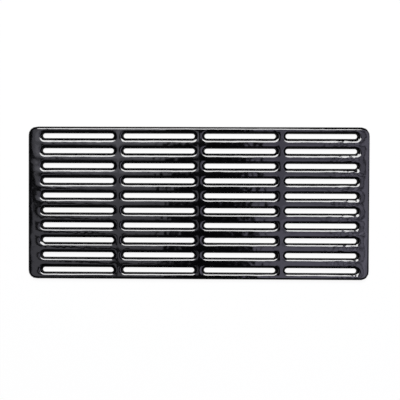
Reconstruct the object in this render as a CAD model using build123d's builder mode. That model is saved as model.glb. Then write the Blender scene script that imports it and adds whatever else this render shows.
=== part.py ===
"""Grill grate: one flat sand casting in grey iron, pierced by a grid of long slots.

The underside is flat and rests on the ledges of a firebox. Every wall leans so that the pattern
draws out of the sand upwards: the slots open towards the cooking face and the rim narrows. The
bars between the slots are crowned by a broad bevel along both shoulders, carried round the ends.
The rim is a little wider at the left end than at the right.
X runs along the slots, Y across the bars and Z up, with the origin under the middle.
"""
import os

from build123d import *

# Slot grid
slot_columns = 4
slot_rows = 10
slot_length = 95.9  # end to end at the underside, where a slot is narrowest
slot_width = 6.7

# Metal left round the slots at the underside
bar_width = 13.3
web_width = 12.8
left_rim_width = 18.6
right_rim_width = 16.2
side_rim_width = 9.05

# Plate and rim
thickness = 10.0
corner_radius = 11.5
rim_draft_angle = 5.0
rim_edge_radius = 2.8

# Slot walls: how far they lean out between the underside and the foot of the crown
side_lean = 1.6
end_lean = 1.9

# Crown: the bevel between a slot wall and the cooking face
crown_depth = 2.6
crown_side_width = 2.4
crown_end_width = 2.7

# Sizes that follow
column_pitch = slot_length + web_width
row_pitch = slot_width + bar_width
grate_length = slot_columns * column_pitch - web_width + left_rim_width + right_rim_width
grate_width = slot_rows * row_pitch - bar_width + 2 * side_rim_width
grid_offset = (left_rim_width - right_rim_width) / 2
crown_foot_height = thickness - crown_depth
crown_foot_length = slot_length + 2 * end_lean
crown_foot_width = slot_width + 2 * side_lean
mouth_length = crown_foot_length + 2 * crown_end_width
mouth_width = crown_foot_width + 2 * crown_side_width

# One slot, as the plug of sand that leaves it: three round-ended outlines joined by straight walls
with BuildPart() as slot:
    with BuildSketch():
        SlotOverall(slot_length, slot_width)
    with BuildSketch(Plane.XY.offset(crown_foot_height)):
        SlotOverall(crown_foot_length, crown_foot_width)
    with BuildSketch(Plane.XY.offset(thickness)):
        SlotOverall(mouth_length, mouth_width)
    loft(ruled=True)

# The plate with its leaning rim and rounded upper edge, then the slots through it
with BuildPart() as grill_grate:
    with BuildSketch():
        RectangleRounded(grate_length, grate_width, corner_radius)
    extrude(amount=thickness)
    draft(grill_grate.faces().filter_by(Axis.Z, reverse=True), Plane.XY, rim_draft_angle)
    fillet(grill_grate.faces().sort_by(Axis.Z)[-1].edges(), radius=rim_edge_radius)
    with Locations((grid_offset, 0)):
        with GridLocations(column_pitch, row_pitch, slot_columns, slot_rows):
            add(slot.part, mode=Mode.SUBTRACT)

os.makedirs("parts", exist_ok=True)
grill_grate.part.label = "grill_grate"
export_step(grill_grate.part, "parts/grill_grate.step")
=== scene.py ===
import math

import bmesh
import bpy
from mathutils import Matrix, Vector, noise


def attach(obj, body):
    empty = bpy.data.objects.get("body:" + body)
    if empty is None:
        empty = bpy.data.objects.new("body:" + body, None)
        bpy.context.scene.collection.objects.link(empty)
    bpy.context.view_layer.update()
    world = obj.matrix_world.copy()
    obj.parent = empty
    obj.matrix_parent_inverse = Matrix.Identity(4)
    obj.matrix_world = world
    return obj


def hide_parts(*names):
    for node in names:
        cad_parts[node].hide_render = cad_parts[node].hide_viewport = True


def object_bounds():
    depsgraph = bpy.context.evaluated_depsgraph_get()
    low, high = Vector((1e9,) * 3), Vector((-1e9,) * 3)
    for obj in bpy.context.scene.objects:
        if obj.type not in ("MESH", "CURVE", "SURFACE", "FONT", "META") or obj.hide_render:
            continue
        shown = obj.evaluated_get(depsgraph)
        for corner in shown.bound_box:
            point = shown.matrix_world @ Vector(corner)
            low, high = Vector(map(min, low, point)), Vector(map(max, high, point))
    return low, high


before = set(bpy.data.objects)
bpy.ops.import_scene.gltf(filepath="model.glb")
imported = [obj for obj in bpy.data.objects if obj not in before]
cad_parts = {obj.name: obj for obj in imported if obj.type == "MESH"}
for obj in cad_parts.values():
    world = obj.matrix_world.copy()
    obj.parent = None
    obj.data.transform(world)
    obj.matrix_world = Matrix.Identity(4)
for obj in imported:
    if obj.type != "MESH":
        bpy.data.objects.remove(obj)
cad_low, cad_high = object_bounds()

# The grate: one flat sand casting in grey iron, pierced by round-ended slots. The pattern's walls lean
# so that it draws out of the sand, the bars between the slots are cast with rounded crowns, and the
# casting is enamelled black: a matt ground coat all over, then a glossy cover coat sprayed from above.
MM = 0.001
grate_length = (cad_high.x - cad_low.x) / MM
grate_width = (cad_high.y - cad_low.y) / MM
grate_thickness = (cad_high.z - cad_low.z) / MM
corner_radius = 11.5
slot_columns, slot_rows = 4, 10
cast_slot_length, cast_slot_width = 95.9, 6.7
bar_width, web_width = 13.3, 12.8
left_rim_width, right_rim_width = 18.6, 16.2
enamel_build = 0.22
slot_length = cast_slot_length - 2 * enamel_build
slot_width = cast_slot_width - 2 * enamel_build
spine_half = (slot_length - slot_width) / 2
column_pitch = cast_slot_length + web_width
row_pitch = cast_slot_width + bar_width
grid_offset = (left_rim_width - right_rim_width) / 2
side_steps, drained_side_steps, end_steps = 44, 80, 14


def slot_centre(column, row):
    """The middle of a slot, counted from the left end and from the near side."""
    return Vector(((column - (slot_columns - 1) / 2) * column_pitch + grid_offset,
                   (row - (slot_rows - 1) / 2) * row_pitch))


def slot_outline(steps):
    """Clockwise round a slot: points on its spine, each with the direction out from there."""
    outline = []
    for step in range(steps):
        outline.append((Vector((-spine_half + 2 * spine_half * step / steps, 0)), Vector((0, 1))))
    for step in range(end_steps):
        angle = math.pi / 2 - math.pi * step / end_steps
        outline.append((Vector((spine_half, 0)), Vector((math.cos(angle), math.sin(angle)))))
    return outline + [(-spine, -out) for spine, out in outline]


# Walls and brows: a wall leans back from a rounded foot, and a brow rounds over from it to the top
wall_draft = math.radians(5.0)
underside_edge_radius = 0.8
brow_tilt = math.radians(58.0)
brow_softening = 0.3
crown_radius, rim_edge_radius = 5.2, 3.8
dome_tilt, dome_width = math.radians(3.0), 3.5
band_spread = math.radians(6.5)
foot_steps, brow_steps = 2, 9


def wall_section(brow_radius, top_tilt):
    """A wall's points from the underside up, as depth into the metal and height. Then the depth and height
    of the foot of its brow, and the brow's width up to the tilt that the flat starts with."""
    wall = []
    for step in range(foot_steps + 1):
        angle = math.pi / 2 * step / foot_steps
        wall.append((underside_edge_radius * (1 - math.sin(angle)),
                     underside_edge_radius * (1 - math.cos(angle))))
    lean = math.tan(wall_draft)
    brow_height = brow_radius * (math.cos(top_tilt) - math.cos(brow_tilt))
    brow_foot_height = grate_thickness - brow_height
    wall_top = brow_foot_height - brow_softening
    wall.append(((wall_top - underside_edge_radius) * lean, wall_top))
    brow_foot = (brow_foot_height - underside_edge_radius) * lean
    brow_width = brow_radius * (math.sin(brow_tilt) - math.sin(top_tilt))
    return wall, brow_foot, brow_foot_height, brow_width


def brow_arc(foot_tilt, top_tilt, band_tilt, band):
    """A brow's section as shares of its width and height, from its foot up, and its height over its width:
    an arc from one tilt to another, with a broader or, below zero, a narrower band about a third."""
    arc = [(0.0, 0.0)]
    for step in range(brow_steps):
        start, end = (foot_tilt + (top_tilt - foot_tilt) * edge / brow_steps for edge in (step, step + 1))
        radius = 1 + band * math.exp(-(((start + end) / 2 - band_tilt) / band_spread) ** 2)
        across, rise = arc[-1]
        arc.append((across + radius * (math.sin(start) - math.sin(end)),
                    rise + radius * (math.cos(end) - math.cos(start))))
    width, height = arc[-1]
    return [(across / width, rise / height) for across, rise in arc], height / width


slot_wall, crown_foot, crown_foot_height, crown_width = wall_section(crown_radius, dome_tilt)
rim_wall, rim_foot, rim_foot_height, rim_edge_width = wall_section(rim_edge_radius, 0.0)

# Rim: its rounded edge is sharper at both ends of the grate, and worn along the far side
rim_core = Vector((grate_length / 2 - corner_radius, grate_width / 2 - corner_radius))
right_sharpening, far_right_sharpening, left_sharpening = 0.35, 0.2, 0.1
least_wear, wear_start, wear_reach, worn_broadening = 0.25, 110.0, 60.0, 0.2
worn_foot, worn_tilt, worn_band = math.radians(10.0), math.radians(11.5), 0.95


def toward_rim(point):
    """The nearest point of the plate's core and the way from it to the rim."""
    core = Vector((max(-rim_core.x, min(rim_core.x, point.x)), max(-rim_core.y, min(rim_core.y, point.y))))
    return core, point - core


def rim_wear(core, out):
    """How far the top of the rim's edge is drawn in: on the far side, and most towards its right end."""
    rightward = max(least_wear, min(1.0, least_wear + (core.x - wear_start) / wear_reach))
    return rightward * max(0.0, out.normalized().y) ** 2


def rim_swell(core, out):
    """How much broader than drawn the rim's edge is: narrower at both ends, broader where it is worn."""
    side = out.normalized()
    right = (right_sharpening + far_right_sharpening * core.y / rim_core.y) * max(0.0, side.x) ** 2
    left = left_sharpening * max(0.0, -side.x) ** 2
    return 1 - right - left + worn_broadening * rim_wear(core, out)


def land_edge(core, out):
    """How far from the plate's core the flat of the rim ends and its rounded edge starts."""
    return corner_radius - rim_foot - rim_edge_width * rim_swell(core, out)


# Skin: slow and quick ripples all over, and what the enamel left as it drained to the right while the
# grate hung by its left end: runs along the bars there, and pools in the right ends of the slots
slow_ripple, slow_length, slow_layer = 0.25, 16.0, 0.4
quick_ripple, quick_length, quick_layer = 0.16, 5.0, 5.9
drain_start, drain_reach = 160.0, 35.0
drain_side, drain_fade = 97.0, 4.0
run_height, run_length, run_width, run_layer = 0.42, 7.0, 2.4, 7.7
pool_direction, pool_reach, pool_spread = Vector((0.55, -0.83)), 6.3, 1.7
pool_depth, least_pool, pool_layer = 0.6, 0.6, 2.5
cell_middle = 0.5

pools = []
for row in range(slot_rows):
    fill = least_pool + (1 - least_pool) * noise.cell(Vector((cell_middle, row + cell_middle, pool_layer)))
    slot_end = slot_centre(slot_columns - 1, row) + Vector((spine_half, 0))
    pools.append((slot_end + pool_direction * pool_reach, pool_depth * fill))


def swell(point, length, width, layer):
    """Smooth unevenness from -1 to 1, in swells of this length along the bars and this width across."""
    return noise.noise(Vector((point.x / length, point.y / width, layer)))


def skin_depth(point):
    """How far the rippled top of the casting lies below a flat one."""
    depth = slow_ripple * (0.5 + 0.5 * swell(point, slow_length, slow_length, slow_layer))
    depth += quick_ripple * (0.5 + 0.5 * swell(point, quick_length, quick_length, quick_layer))
    along, aside = (point.x - drain_start) / drain_reach, (drain_side - abs(point.y)) / drain_fade
    drained = max(0.0, min(1.0, along, aside))
    if drained:
        depth += run_height * drained * (0.5 + 0.5 * swell(point, run_length, run_width, run_layer))
        for pool, hollow in pools:
            depth += hollow * math.exp(-((point - pool).length / pool_spread) ** 2)
    return depth


# Crowns: they swell and thin along the bars, and the enamel gathered on the shoulders that face the far side.
# At the left end of one slot a drip of it hardened into a bead
crown_unevenness, crown_swell_length, crown_swell_width, crown_layer = 0.1, 24.0, 9.0, 3.7
shoulder_growth = 0.0021
end_tilt, end_narrowing, end_sharpness = math.radians(7.0), 0.15, 0.6
full_tilt, full_band = math.radians(16.5), 1.0
full_slant, full_left, full_start, full_reach = 0.35, -80.0, 15.0, 60.0
narrowest_flat = 0.3
bead_column, bead_row, bead_direction = 0, 2, Vector((-0.5, -0.87))
bead_place = slot_centre(bead_column, bead_row) - Vector((spine_half, 0)) + bead_direction * slot_width / 2
bead_spread, bead_band, bead_overhang = 1.4, 14.0, 0.5


def crown_swell(point, out):
    """How much wider than drawn a crown is. Shoulders that face the far side are fuller on the far bars."""
    uneven = crown_unevenness * swell(point, crown_swell_length, crown_swell_width, crown_layer)
    return 1 + uneven + shoulder_growth * point.y * max(0.0, -out.y)


def enamel_fullness(point, out):
    """How full the enamel stands on a crown: on the far-facing shoulders, at the near side and the right."""
    nearness = full_slant * max(point.x, full_left) - point.y - full_start
    return max(0.0, min(1.0, nearness / full_reach)) * max(0.0, -out.y)


def crown_at(mouth, out, room):
    """The crown on one spot of a slot's edge: how deep it starts, its width and height, the flat beyond it,
    how far that flat drops towards it, and its section."""
    width = crown_width * crown_swell(mouth, out) * (1 - end_narrowing * max(0.0, -out.x))
    width = min(width, room - narrowest_flat)
    flat = room - width
    top_tilt = dome_tilt + (end_tilt - dome_tilt) * out.x ** 2
    drop = math.tan(top_tilt) / 2 * min(flat, dome_width)
    bead = math.exp(-((mouth - bead_place).length / bead_spread) ** 2)
    fullness = max(bead, enamel_fullness(mouth, out))
    band = full_band * fullness + bead_band * bead - end_sharpness * out.x ** 2
    arc, steepness = brow_arc(brow_tilt, top_tilt, full_tilt, band)
    cast_height = grate_thickness - crown_foot_height
    height = cast_height + fullness * (width * steepness - cast_height)
    overhang = bead_overhang * bead
    return crown_foot - overhang, width + overhang, height, flat, drop, arc


# Mesh: the plate is cut into one cell for each slot, and each cell and each stretch of rim is rows of quads
smallest_part = 1e-6
edge_tolerance = 1e-4
weld_distance = 0.002
land_shares = (0.2, 0.55, 1.0)
ground_coat_rows = len(slot_wall) + 1
vertices, faces, ground_coat_faces = [], [], set()


def cell_border(outline, centre, low, high):
    """Where the metal of one slot ends: the middle of its bars and webs, or the start of the rim's edge."""
    border = []
    for spine, out in outline:
        reach = [((high if out[axis] > 0 else low)[axis] - spine[axis]) / out[axis]
                 for axis in (0, 1) if abs(out[axis]) > smallest_part]
        border.append(spine + out * min(reach))
    for corner in (Vector((x, y)) for x in (low[0], high[0]) for y in (low[1], high[1])):
        nearest = min(range(len(border)), key=lambda index: (border[index] - corner).length)
        border[nearest] = corner
    for index, point in enumerate(border):
        core, out = toward_rim(centre + point)
        if out.length > land_edge(core, out):
            border[index] = core + out.normalized() * land_edge(core, out) - centre
    return border


def add_strip(rows, closed):
    """Quads between neighbouring rows of points, the first of them bare of the cover coat."""
    first, width = len(vertices), len(rows[0])
    for points in rows:
        vertices.extend(points)
    for level in range(len(rows) - 1):
        for index in range(width if closed else width - 1):
            here = first + level * width + index
            beside = first + level * width + (index + 1) % width
            if level < ground_coat_rows:
                ground_coat_faces.add(len(faces))
            faces.append((here, beside, beside + width, here + width))


def add_cell(outline, border, centre):
    """The metal round one slot: the underside, the leaning wall, the crown and the flat."""
    rows = [[(*(centre + edge), 0.0) for edge in border]]
    for depth, height in slot_wall:
        rows.append([(*(centre + spine + out * (slot_width / 2 + depth)), height) for spine, out in outline])
    crowns = []
    for (spine, out), edge in zip(outline, border):
        room = (edge - spine).length - slot_width / 2 - crown_foot
        crowns.append(crown_at(centre + spine + out * slot_width / 2, out, room))
    for step in range(brow_steps + 1):
        ring, levels = [], []
        for (spine, out), (foot, width, height, flat, drop, arc) in zip(outline, crowns):
            across, rise = arc[step]
            point = centre + spine + out * (slot_width / 2 + foot + across * width)
            ring.append(point)
            levels.append(grate_thickness - height * (1 - rise) - rise * (drop + skin_depth(point)))
        rows.append([(*point, level) for point, level in zip(ring, levels)])
    for share in land_shares:
        land = []
        for start, edge, (foot, width, height, flat, drop, arc) in zip(ring, border, crowns):
            point = start.lerp(centre + edge, share)
            dome = drop * max(0.0, 1 - share * flat / min(flat, dome_width)) ** 2
            land.append((*point, grate_thickness - dome - skin_depth(point)))
        rows.append(land)
    add_strip(rows, True)


def add_rim(border, centre):
    """The rim beside one cell, where it has one: the underside, the leaning wall and the rounded edge."""
    for here, beside in zip(border, border[1:] + border[:1]):
        ends = [toward_rim(centre + here), toward_rim(centre + beside)]
        if not all(out.length > land_edge(core, out) - edge_tolerance for core, out in ends):
            continue
        rows = [[(*(core + out.normalized() * land_edge(core, out)), 0.0) for core, out in ends]]
        for depth, height in rim_wall:
            rows.append([(*(core + out.normalized() * (corner_radius - depth)), height)
                         for core, out in ends])
        arcs = []
        for core, out in ends:
            wear = rim_wear(core, out)
            arc, steepness = brow_arc(brow_tilt - worn_foot * wear, 0.0, worn_tilt, -worn_band * wear)
            arcs.append(arc)
        for step in range(brow_steps + 1):
            level = []
            for (core, out), arc in zip(ends, arcs):
                across, rise = arc[step]
                inward = rim_foot + rim_edge_width * rim_swell(core, out) * across
                point = core + out.normalized() * (corner_radius - inward)
                edge_height = grate_thickness - rim_foot_height - skin_depth(point)
                level.append((*point, rim_foot_height + rise * edge_height))
            rows.append(level)
        add_strip(rows, False)


outer_x, outer_y = grate_length / 2 - rim_foot, grate_width / 2 - rim_foot
for column in range(slot_columns):
    outline = slot_outline(drained_side_steps if column == slot_columns - 1 else side_steps)
    for row in range(slot_rows):
        centre = slot_centre(column, row)
        near_corner = (-column_pitch / 2 if column > 0 else -outer_x - centre.x,
                       -row_pitch / 2 if row > 0 else -outer_y - centre.y)
        far_corner = (column_pitch / 2 if column < slot_columns - 1 else outer_x - centre.x,
                      row_pitch / 2 if row < slot_rows - 1 else outer_y - centre.y)
        border = cell_border(outline, centre, near_corner, far_corner)
        add_cell(outline, border, centre)
        add_rim(border, centre)

mesh = bpy.data.meshes.new("grate_casting")
mesh.from_pydata([Vector(vertex) * MM for vertex in vertices], [], faces)
coats = [1 if index in ground_coat_faces else 0 for index in range(len(faces))]
mesh.polygons.foreach_set("material_index", coats)
shell = bmesh.new()
shell.from_mesh(mesh)
bmesh.ops.remove_doubles(shell, verts=shell.verts, dist=weld_distance * MM)
bmesh.ops.recalc_face_normals(shell, faces=shell.faces)
shell.to_mesh(mesh)
shell.free()
mesh.shade_smooth()
grate = bpy.data.objects.new("grate_casting", mesh)
bpy.context.scene.collection.objects.link(grate)


def linear(hex_colour):
    """An sRGB hex colour as linear RGBA."""
    levels = [int(hex_colour[start:start + 2], 16) / 255 for start in (1, 3, 5)]
    colour = [level / 12.92 if level <= 0.04045 else ((level + 0.055) / 1.055) ** 2.4 for level in levels]
    return colour + [1.0]


def add_node(tree, kind, settings=None, **inputs):
    """A node with its settings, and its inputs set to values or linked to other sockets. An input goes by
    its name, with _ for a space, or by its number, as i0."""
    node = tree.nodes.new(kind)
    for name, value in (settings or {}).items():
        setattr(node, name, value)
    for name, value in inputs.items():
        by_number = name[0] == "i" and name[1:].isdigit()
        socket = node.inputs[int(name[1:])] if by_number else node.inputs[name.replace("_", " ")]
        if isinstance(value, bpy.types.NodeSocket):
            tree.links.new(value, socket)
        else:
            socket.default_value = value
    return node


# Cover coat, vitreous enamel fired black over a sand-cast skin: a deep black glass that mirrors the
# lights, with the slow waves of the cast skin under it and a faint orange peel from the spraying.
wave_size, wave_height = 16 * MM, 0.15 * MM
peel_size, peel_height = 3.5 * MM, 0.012 * MM
blotch_size = 9 * MM
enamel_ior = 1.6
cover_coat = bpy.data.materials.new("gloss_black_vitreous_enamel")
cover_coat.use_nodes = True
tree = cover_coat.node_tree
shader = tree.nodes["Principled BSDF"]
place = add_node(tree, "ShaderNodeTexCoord").outputs["Object"]
waves = add_node(tree, "ShaderNodeTexNoise", Vector=place, Scale=1 / wave_size, Detail=2.0)
peel = add_node(tree, "ShaderNodeTexNoise", Vector=place, Scale=1 / peel_size, Detail=2.0)
blotches = add_node(tree, "ShaderNodeTexNoise", Vector=place, Scale=1 / blotch_size, Detail=3.0)
wave_bump = add_node(tree, "ShaderNodeBump", Height=waves.outputs["Fac"], Strength=1.0, Distance=wave_height)
peel_bump = add_node(tree, "ShaderNodeBump", Height=peel.outputs["Fac"], Strength=1.0, Distance=peel_height,
                     Normal=wave_bump.outputs["Normal"])
tint = add_node(tree, "ShaderNodeMix", {"data_type": "RGBA"}, Factor=blotches.outputs["Fac"],
                i6=linear("#020203"), i7=linear("#060607"))
gloss = add_node(tree, "ShaderNodeMapRange", Value=blotches.outputs["Fac"], To_Min=0.05, To_Max=0.11)
tree.links.new(tint.outputs[2], shader.inputs["Base Color"])
tree.links.new(gloss.outputs["Result"], shader.inputs["Roughness"])
tree.links.new(peel_bump.outputs["Normal"], shader.inputs["Normal"])
shader.inputs["IOR"].default_value = enamel_ior
mesh.materials.append(cover_coat)

# Ground coat, a thin black enamel fired straight on the iron: dull and a little sandy, where the cover
# coat didn't reach, on the slot walls, the foot of the rim and the underside.
sand_size, sand_height = 0.8 * MM, 0.06 * MM
patch_size = 12 * MM
dull_specular = 0.15
ground_coat = bpy.data.materials.new("matt_black_enamel_ground_coat")
ground_coat.use_nodes = True
tree = ground_coat.node_tree
shader = tree.nodes["Principled BSDF"]
place = add_node(tree, "ShaderNodeTexCoord").outputs["Object"]
sand = add_node(tree, "ShaderNodeTexNoise", Vector=place, Scale=1 / sand_size, Detail=4.0)
patches = add_node(tree, "ShaderNodeTexNoise", Vector=place, Scale=1 / patch_size, Detail=3.0)
sand_bump = add_node(tree, "ShaderNodeBump", Height=sand.outputs["Fac"], Strength=1.0, Distance=sand_height)
tint = add_node(tree, "ShaderNodeMix", {"data_type": "RGBA"}, Factor=patches.outputs["Fac"],
                i6=linear("#040404"), i7=linear("#0c0c0d"))
gloss = add_node(tree, "ShaderNodeMapRange", Value=patches.outputs["Fac"], To_Min=0.75, To_Max=0.95)
tree.links.new(tint.outputs[2], shader.inputs["Base Color"])
tree.links.new(gloss.outputs["Result"], shader.inputs["Roughness"])
tree.links.new(sand_bump.outputs["Normal"], shader.inputs["Normal"])
shader.inputs["Specular IOR Level"].default_value = dull_specular
mesh.materials.append(ground_coat)
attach(grate, "root")
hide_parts("grill_grate")

# The floor: a wide sheet of white paper that the grate lies on. It shows as clean white to the camera
# and in the enamel, and keeps a part of the shadow under the bars.
floor_half = 20.0
floor_gap = 0.05 * MM
paper_roughness, paper_glow = 0.9, 0.93
floor_mesh = bpy.data.meshes.new("paper_floor")
floor_mesh.from_pydata([(-floor_half, -floor_half, 0), (floor_half, -floor_half, 0),
                        (floor_half, floor_half, 0), (-floor_half, floor_half, 0)], [], [(0, 1, 2, 3)])
floor = bpy.data.objects.new("paper_floor", floor_mesh)
floor.location.z = -floor_gap
bpy.context.scene.collection.objects.link(floor)
paper = bpy.data.materials.new("white_paper")
paper.use_nodes = True
tree = paper.node_tree
shader = tree.nodes["Principled BSDF"]
shader.inputs["Base Color"].default_value = linear("#f2f2f2")
shader.inputs["Roughness"].default_value = paper_roughness
path = add_node(tree, "ShaderNodeLightPath")
seen = add_node(tree, "ShaderNodeMath", {"operation": "MAXIMUM"}, i0=path.outputs["Is Camera Ray"],
                i1=path.outputs["Is Glossy Ray"])
seen = add_node(tree, "ShaderNodeMath", {"operation": "MAXIMUM"}, i0=seen.outputs[0],
                i1=path.outputs["Is Transmission Ray"])
share = add_node(tree, "ShaderNodeMath", {"operation": "MULTIPLY"}, i0=seen.outputs[0], i1=paper_glow)
glow = add_node(tree, "ShaderNodeEmission", Color=linear("#ffffff"), Strength=1.0)
mixed = add_node(tree, "ShaderNodeMixShader", i0=share.outputs[0], i1=shader.outputs[0], i2=glow.outputs[0])
tree.links.new(mixed.outputs[0], tree.nodes["Material Output"].inputs["Surface"])
floor_mesh.materials.append(paper)

# Light, in metres: a softbox beyond the far edge of the grate, and dim ceiling panels either side of the
# camera, some of them hung a little lower so that they overlap.
ceiling_height, hung_height = 1.5, 1.48
softbox_place = Vector((-0.05, 1.22, 2.5))
white, cool_white, violet_white = "#ffffff", "#f2f1ff", "#e8e4ff"
straight_down = Vector((0, 0, -1))


def add_panel(name, place, size, radiance, colour, facing=straight_down):
    """A soft rectangular lamp of even brightness."""
    lamp = bpy.data.lights.new(name, "AREA")
    lamp.shape = "RECTANGLE"
    lamp.size, lamp.size_y = size
    lamp.energy = radiance * math.pi * size[0] * size[1]
    lamp.color = linear(colour)[:3]
    panel = bpy.data.objects.new(name, lamp)
    panel.location = place
    panel.rotation_euler = facing.to_track_quat("-Z", "Y").to_euler()
    bpy.context.scene.collection.objects.link(panel)


add_panel("softbox", softbox_place, (1.55, 1.2), 15.2, white, facing=-softbox_place)
add_panel("ceiling_left", (-0.3575, 0.11, ceiling_height), (0.455, 1.02), 0.9, cool_white)
add_panel("ceiling_left_near", (-0.215, -0.5, ceiling_height), (0.17, 0.2), 0.9, cool_white)
add_panel("ceiling_left_far", (-0.265, 0.36, hung_height), (0.41, 0.56), 0.6, cool_white)
add_panel("ceiling_right", (0.28, -0.15, ceiling_height), (0.28, 1.5), 1.15, violet_white)
add_panel("ceiling_right_near", (0.34, -0.35, hung_height), (0.4, 0.5), 0.45, violet_white)
add_panel("ceiling_right_end", (0.725, 0.0, ceiling_height), (0.53, 1.2), 1.7, violet_white)

# The boom arm of a lamp stand, a flat bar painted dark grey. It hangs under the left ceiling panels,
# and the enamel mirrors it as a dark band across the left end of the grate.
boom_height, boom_width, boom_roughness = 1.4, 0.095, 0.9
boom_from, boom_to = Vector((-0.85, 0.394, boom_height)), Vector((-0.01, -0.549, boom_height))
boom_across = (boom_to - boom_from).cross(Vector((0, 0, 1))).normalized() * boom_width / 2
boom_mesh = bpy.data.meshes.new("boom_arm")
boom_mesh.from_pydata([boom_from - boom_across, boom_to - boom_across,
                       boom_to + boom_across, boom_from + boom_across], [], [(0, 1, 2, 3)])
boom = bpy.data.objects.new("boom_arm", boom_mesh)
bpy.context.scene.collection.objects.link(boom)
boom_paint = bpy.data.materials.new("matt_grey_paint")
boom_paint.use_nodes = True
shader = boom_paint.node_tree.nodes["Principled BSDF"]
shader.inputs["Base Color"].default_value = linear("#202020")
shader.inputs["Roughness"].default_value = boom_roughness
boom_mesh.materials.append(boom_paint)

# The studio round them: walls that are pale along the foot and dark from there up, so that the low
# sides of the grate mirror something and the top stays black between the lamps.
pale_up_to, grey_at, dark_from = 0.07, 0.12, 0.5
world = bpy.data.worlds.new("studio_walls")
world.use_nodes = True
tree = world.node_tree
direction = add_node(tree, "ShaderNodeTexCoord").outputs["Generated"]
height = add_node(tree, "ShaderNodeSeparateXYZ", Vector=direction).outputs["Z"]
walls = add_node(tree, "ShaderNodeValToRGB", Fac=height)
stops = walls.color_ramp.elements
stops[0].position, stops[0].color = pale_up_to, linear("#f0f0f0")
stops[1].position, stops[1].color = dark_from, linear("#101012")
middle = stops.new(grey_at)
middle.color = linear("#5c5c60")
tree.links.new(walls.outputs["Color"], tree.nodes["Background"].inputs["Color"])
bpy.context.scene.world = world

# Camera: above the grate, looking straight down to within about a degree. Its focal length is given in
# pixels of the picture.
image_width = 400
focal_pixels = 892.2
sensor_width = 36.0
camera_place = Vector((23.96, 27.6, 1200.46)) * MM
camera_turn = (-0.01937, 0.01831, 0.00382)
camera_data = bpy.data.cameras.new("overhead_camera")
camera_data.sensor_width = sensor_width
camera_data.lens = sensor_width * focal_pixels / image_width
camera = bpy.data.objects.new("overhead_camera", camera_data)
camera.location = camera_place
camera.rotation_euler = camera_turn
bpy.context.scene.collection.objects.link(camera)
bpy.context.scene.camera = camera
bpy.context.scene.view_settings.view_transform = "Standard"
